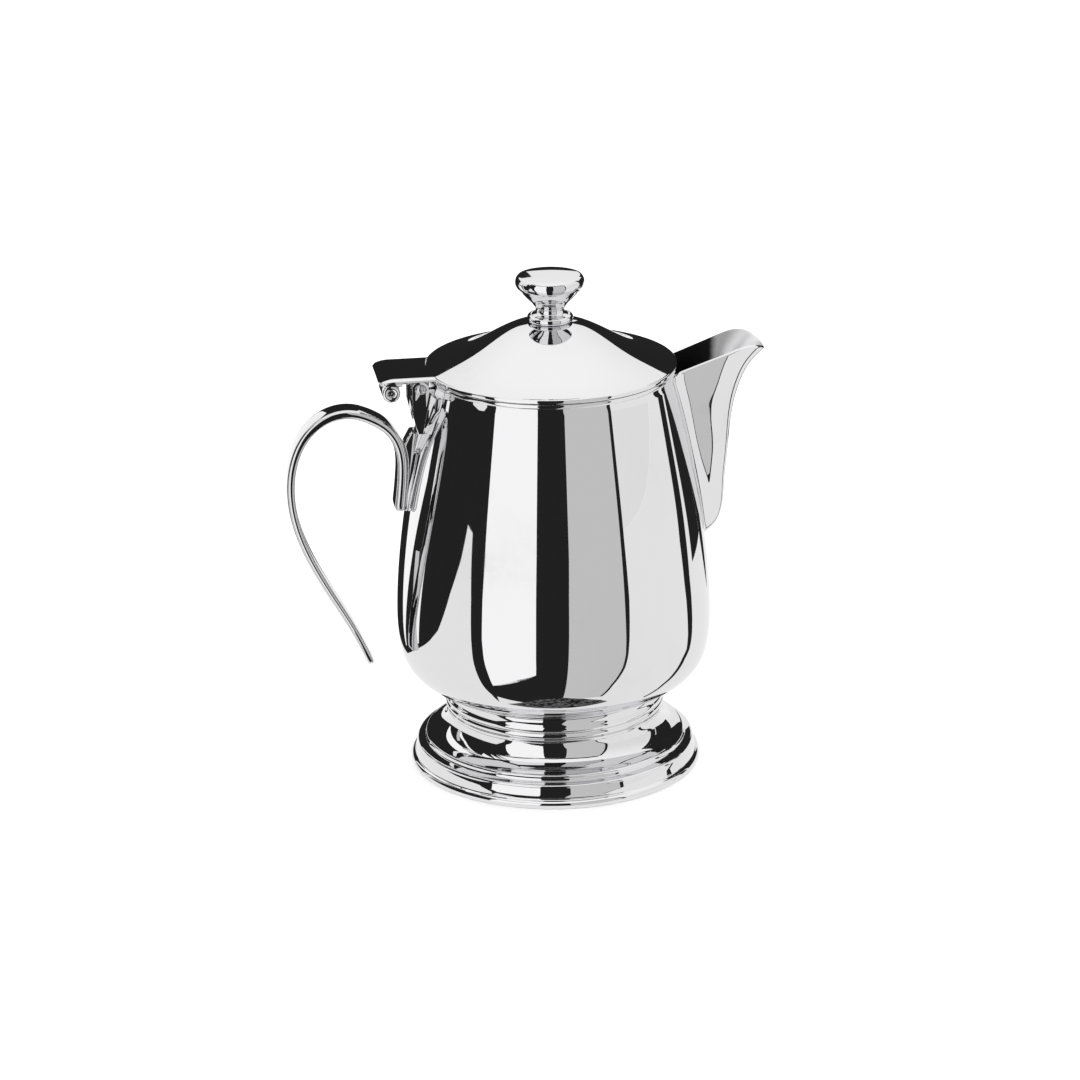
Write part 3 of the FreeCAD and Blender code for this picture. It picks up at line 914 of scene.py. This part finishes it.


# The cards below are painted reflections: they glow, light nothing and show only in the metal.
# Lines on the floor, near to far, that part the cards: (across, towards the camera)
LEFT_WALL = [(-97, -59), (-147, -27), (-219, 25), (-370, 90), (-676, 242), (-1830, 745)]
LEFT_BACK = [(-97, -59), (-82, -95), (-62, -140)]
LINE_OUT = [(-36, 54), (-51, 65), (-86, 81), (-141, 106), (-195, 132), (-354, 214), (-739, 399), (-1600, 815)]
LINE_IN = [(-50, 72), (-65, 85), (-92, 104), (-131, 129), (-183, 164), (-341, 285), (-793, 646),
           (-1600, 1270)]
WHITE_RIGHT = [(-29, 145), (-33, 165), (-40, 195), (-46, 222), (-57, 272), (-115, 533), (-387, 1780)]
NEAR_LEFT = [(-51, 65), (-65, 85), (-50, 120), (-29, 145)]
NEAR_RIGHT = [(-22, 66), (-12, 78), (7, 84), (24, 167)]
# Outline of the speckled card that paints a dark reflection in front of the foot
PATCH_LEFT = [(-30, 54), (-22, 66), (-12, 78), (7, 84)]
PATCH_RIGHT = [(34, 54), (32, 63), (22, 76), (7, 84)]
GAP_LEFT = [(-29, 145), (-57, 272), (-115, 533), (-387, 1780)]
GAP_RIGHT = [(24, 167), (46, 273), (98, 534), (354, 1757)]
GREY_LEFT = [(7, 84), (11, 106), (18, 138), (24, 167), (46, 273), (98, 534), (354, 1757)]
GREY_RIGHT = [(36, 71), (60, 88), (105, 110), (141, 131), (180, 157), (334, 266), (1450, 1090)]
GREY_RIGHT_HALF = [1.0, 1.4, 2.4, 3.2, 5.0, 13.0, 48.0]
RIGHT_LINE = [(48, 26), (72, 21), (95, 9), (118, -6), (135, -22), (165, -39), (194, -53), (239, -73),
              (291, -93), (445, -165), (935, -437), (1700, -870)]
RIGHT_LINE_HALF = [1.5, 2, 3, 4, 5, 8, 11, 15, 20, 38, 80, 140]
RIGHT_BACK = [(124, -152), (170, -190), (206, -226)]
FAR_SILL = [(-2000, 300), (-1760, 740), (-1540, 960), (-760, 1680), (-330, 1740), (330, 1740), (850, 1500),
            (1420, 1100)]

# Corners of the slim pale cards in front of the left wall: (across, towards the camera, height)
GLINTS = [
    [(-98, -55, 8), (-100, -53, 8), (-132, -33, 90), (-96, -57, 90)],
    [(-96, -57, 90), (-132, -33, 90), (-132, -33, 150), (-96, -57, 150)],
    [(-127, -37, 6), (-143, -27, 6), (-163, -12, 60), (-153, -20, 60)],
    [(-153, -20, 60), (-163, -12, 60), (-164, -11, 230), (-155, -18, 230)],
]
GLINT_BACK = [(-128, -36), (-139, -29)]

# Heights in millimetres
FAR_HIGH = 1650.0
LEFT_WALL_HIGH = [160, 190, 330, 620, FAR_HIGH]
SILL_HIGH = 1.18 * FAR_HIGH
LEFT_BACK_HIGH = 150.0
RIGHT_BACK_HIGH = 130.0
GLINT_BACK_HIGH = 58.0
FLOOR_LIFT, PATCH_LIFT, LINE_LIFT = 0.9, 1.0, 1.2
RING_R, RING_LOW, RING_HIGH, RING_DIP = 320.0, 98.0, 288.0, 222.0
SKIRT_R, SKIRT_HIGH = 322.0, 100.0

# Brightness of the cards in the metal, and the size of the dome and of the floor card in metres
BLACK, GREY, WHITE, LIGHT = 0.019, 0.66, 1.16, 0.965
DOME_R, FLOOR_CARD_R = 2.6, 2.59


def beside(line, widths, side):
    """The line moved sideways by its own width at each place."""
    moved = []
    for i, (place, width) in enumerate(zip(line, widths)):
        ahead = Vector(line[min(i + 1, len(line) - 1)]) - Vector(line[max(i - 1, 0)])
        ahead.normalize()
        moved.append((place[0] - ahead.y * width * side, place[1] + ahead.x * width * side))
    return moved


def nearer(*places):
    """The places pulled a little towards the pot, to stand in front of others."""
    return [(0.97 * across, 0.97 * towards) for across, towards in places]


def around(radius, first, last, steps=10):
    """Places on a circle about the pot, from one bearing in degrees to another."""
    bearings = [math.radians(first + (last - first) * i / steps) for i in range(steps + 1)]
    return [(radius * math.sin(a), radius * math.cos(a)) for a in bearings]


def black_cards():
    bm = bmesh.new()
    for place, after, high in zip(LEFT_WALL, LEFT_WALL[1:], LEFT_WALL_HIGH):
        fence(bm, [place, after], 0.0, high)
    fence(bm, [LEFT_WALL[-1], LINE_OUT[-1]], 0.0, FAR_HIGH)
    fence(bm, FAR_SILL, FAR_HIGH, SILL_HIGH)
    fence(bm, LEFT_BACK, 0.0, LEFT_BACK_HIGH)
    strip(bm, LINE_OUT, LINE_IN, FLOOR_LIFT)
    fence(bm, [LINE_OUT[-1], LINE_IN[-1]], 0.0, FAR_HIGH)
    strip(bm, NEAR_LEFT, NEAR_RIGHT, FLOOR_LIFT)
    strip(bm, GAP_LEFT, GAP_RIGHT, FLOOR_LIFT)
    fence(bm, [GAP_LEFT[-1], GAP_RIGHT[-1]], 0.0, FAR_HIGH)
    for line, widths in ((GREY_RIGHT, GREY_RIGHT_HALF), (RIGHT_LINE, RIGHT_LINE_HALF)):
        left, right = beside(line, widths, 1), beside(line, widths, -1)
        strip(bm, left, right, LINE_LIFT)
        fence(bm, nearer(left[-1], right[-1]), 0.0, FAR_HIGH)
    fence(bm, RIGHT_BACK, 0.0, RIGHT_BACK_HIGH)
    fence(bm, around(RING_R, 116, 172), RING_LOW, RING_HIGH)
    fence(bm, around(RING_R, 172, 184), RING_LOW, RING_DIP)
    fence(bm, around(RING_R, 184, 241), RING_LOW, RING_HIGH)
    fence(bm, around(SKIRT_R, 118, 138), 0.0, SKIRT_HIGH)
    fence(bm, around(SKIRT_R, 194, 230), 0.0, SKIRT_HIGH)
    reflector(bm, "black_cards", BLACK)


def pale_cards():
    bm = bmesh.new()
    strip(bm, GREY_LEFT, GREY_RIGHT, FLOOR_LIFT)
    fence(bm, [GREY_LEFT[-1], GREY_RIGHT[-1]], 0.0, FAR_HIGH)
    fence(bm, GLINT_BACK, 0.0, GLINT_BACK_HIGH)
    reflector(bm, "grey_cards", GREY)

    bm = bmesh.new()
    strip(bm, LINE_IN[1:], WHITE_RIGHT, FLOOR_LIFT)
    fence(bm, [LINE_IN[-1], GAP_LEFT[-1]], 0.0, FAR_HIGH)
    for corners in GLINTS:
        quad(bm, [spot(*corner) for corner in corners])
    reflector(bm, "white_cards", WHITE)

    # A pale glowing disc over the floor, seen only in the metal: a painted reflection of the floor
    bm = bmesh.new()
    bmesh.ops.create_circle(bm, cap_ends=True, segments=64, radius=FLOOR_CARD_R,
                            matrix=Matrix.Translation((0.0, 0.0, 0.0005)))
    reflector(bm, "light_cards", LIGHT)


def soft_dome():
    """A glowing dome over the cards, seen only in the metal: a painted reflection, brighter overhead and a
    little darker on the beak's side.
    """
    bm = bmesh.new()
    bmesh.ops.create_uvsphere(bm, u_segments=48, v_segments=24, radius=DOME_R)
    geom = list(bm.verts) + list(bm.edges) + list(bm.faces)
    bmesh.ops.bisect_plane(bm, geom=geom, plane_co=(0, 0, 0.001), plane_no=(0, 0, -1), clear_outer=True)
    sky = reflector(bm, "soft_dome", 1.0)
    tree = sky.data.materials[0].node_tree
    split = tree.nodes.new("ShaderNodeSeparateXYZ")
    tree.links.new(tree.nodes.new("ShaderNodeTexCoord").outputs["Object"], split.inputs[0])
    lift = maths(tree, "MULTIPLY", ramp(tree, split.outputs[2], 0.5, 2.4), 0.17)
    shade = maths(tree, "MULTIPLY", ramp(tree, split.outputs[0], 0.2, 2.4), -0.05)
    level = maths(tree, "ADD", maths(tree, "ADD", lift, shade), LIGHT)
    tree.links.new(level, tree.nodes["Principled BSDF"].inputs["Emission Strength"])


def dark_reflection_patch():
    """A speckled dark card right in front of the foot that glows only in the metal: a painted reflection."""
    bm = bmesh.new()
    strip(bm, PATCH_LEFT, PATCH_RIGHT, PATCH_LIFT)
    patch = reflector(bm, "dark_reflection_patch", 0.12)
    tree = patch.data.materials[0].node_tree
    where = tree.nodes.new("ShaderNodeTexCoord").outputs["Object"]
    speck = ramp(tree, noise(tree, where, 420.0, 2.0), 0.3, 0.8)
    tree.links.new(speck, tree.nodes["Principled BSDF"].inputs["Emission Color"])
    tree.nodes["Principled BSDF"].inputs["Emission Strength"].default_value = 0.22


def build_stage():
    wish = bpy.context.scene.pot_stage
    bm = bmesh.new()
    bmesh.ops.create_grid(bm, x_segments=1, y_segments=1, size=6.0)
    floor = piece(bm, "studio_floor")
    floor.data.materials.append(plain("pale_floor", tuple(wish.floor), 0.9))

    world = bpy.data.worlds.new("even_light")
    bpy.context.scene.world = world
    world.use_nodes = True
    back = world.node_tree.nodes["Background"]
    back.inputs["Color"].default_value = (1.0, 1.0, 1.0, 1.0)
    back.inputs["Strength"].default_value = wish.light
    bpy.context.scene.view_settings.view_transform = "Standard"
    black_cards()
    pale_cards()
    soft_dome()
    dark_reflection_patch()
    build_camera(wish)


def build_camera(wish):
    """Camera at the height and turn that show lid, beak and handle."""
    roll = math.radians(-0.744)
    back = Vector((-math.sin(wish.turn) * math.cos(wish.rise), -math.cos(wish.turn) * math.cos(wish.rise),
                   math.sin(wish.rise)))
    level = Vector((math.cos(wish.turn), -math.sin(wish.turn), 0.0))
    upright = back.cross(level)
    right = level * math.cos(roll) + upright * math.sin(roll)
    up = upright * math.cos(roll) - level * math.sin(roll)
    aim = Vector((0.0, 0.0, 0.0767)) - level * 0.00428
    data = bpy.data.cameras.new("table_camera")
    data.lens = wish.lens
    data.sensor_width = 36.0
    camera = bpy.data.objects.new("table_camera", data)
    bpy.context.scene.collection.objects.link(camera)
    turn = Matrix((right, up, back)).transposed().to_4x4()
    camera.matrix_world = Matrix.Translation(aim + back * wish.distance) @ turn
    bpy.context.scene.camera = camera


# ---------------------------------------------------------------- operators

class POT_OT_body(Operator):
    """Drawn body with its mouth bead"""
    bl_idname = "pot.body"
    bl_label = "Body"

    def execute(self, context):
        build_body()
        return {"FINISHED"}


class POT_OT_foot(Operator):
    """Flared foot and stepped collar"""
    bl_idname = "pot.foot"
    bl_label = "Foot"

    def execute(self, context):
        build_foot()
        return {"FINISHED"}


class POT_OT_beak(Operator):
    """Sheet beak with its pouring mouth"""
    bl_idname = "pot.beak"
    bl_label = "Beak"

    def execute(self, context):
        build_beak()
        return {"FINISHED"}


class POT_OT_handle(Operator):
    """Open strap handle and the spine that carries it"""
    bl_idname = "pot.handle"
    bl_label = "Handle"

    def execute(self, context):
        build_handle()
        return {"FINISHED"}


class POT_OT_hinge(Operator):
    """Hinge shield with its pin"""
    bl_idname = "pot.hinge"
    bl_label = "Hinge"

    def execute(self, context):
        build_hinge()
        return {"FINISHED"}


class POT_OT_lid(Operator):
    """Domed lid with flange and thumb tongue"""
    bl_idname = "pot.lid"
    bl_label = "Lid"

    def execute(self, context):
        build_lid()
        build_tongue()
        return {"FINISHED"}


class POT_OT_knob(Operator):
    """Turned knob with its screw and washer"""
    bl_idname = "pot.knob"
    bl_label = "Knob"

    def execute(self, context):
        build_knob()
        finish_hardware()
        return {"FINISHED"}


class POT_OT_stage(Operator):
    """Floor, light, cards and camera"""
    bl_idname = "pot.stage"
    bl_label = "Stage"

    def execute(self, context):
        build_stage()
        return {"FINISHED"}


class POT_PT_panel(Panel):
    """Lists the pieces of the pot"""
    bl_idname = "POT_PT_panel"
    bl_label = "Coffee Pot"
    bl_space_type = "VIEW_3D"
    bl_region_type = "UI"
    bl_category = "Coffee Pot"

    def draw(self, context):
        layout = self.layout
        for group in (context.scene.pot_sizes, context.scene.pot_finish, context.scene.pot_stage):
            box = layout.box()
            for label in group.__annotations__:
                box.prop(group, label)
        for maker in MAKERS:
            layout.operator(maker.bl_idname)


MAKERS = (POT_OT_body, POT_OT_foot, POT_OT_beak, POT_OT_handle, POT_OT_hinge, POT_OT_lid, POT_OT_knob,
          POT_OT_stage)
CLASSES = (PotSizes, PotFinish, PotStage, *MAKERS, POT_PT_panel)


def register():
    for cls in CLASSES:
        bpy.utils.register_class(cls)
    bpy.types.Scene.pot_sizes = PointerProperty(type=PotSizes)
    bpy.types.Scene.pot_finish = PointerProperty(type=PotFinish)
    bpy.types.Scene.pot_stage = PointerProperty(type=PotStage)


def unregister():
    del bpy.types.Scene.pot_stage
    del bpy.types.Scene.pot_finish
    del bpy.types.Scene.pot_sizes
    for cls in reversed(CLASSES):
        bpy.utils.unregister_class(cls)


def main():
    register()
    bpy.ops.pot.body()
    bpy.ops.pot.foot()
    bpy.ops.pot.beak()
    bpy.ops.pot.handle()
    bpy.ops.pot.hinge()
    bpy.ops.pot.lid()
    bpy.ops.pot.knob()
    bpy.ops.pot.stage()


if __name__ == "__main__":
    main()
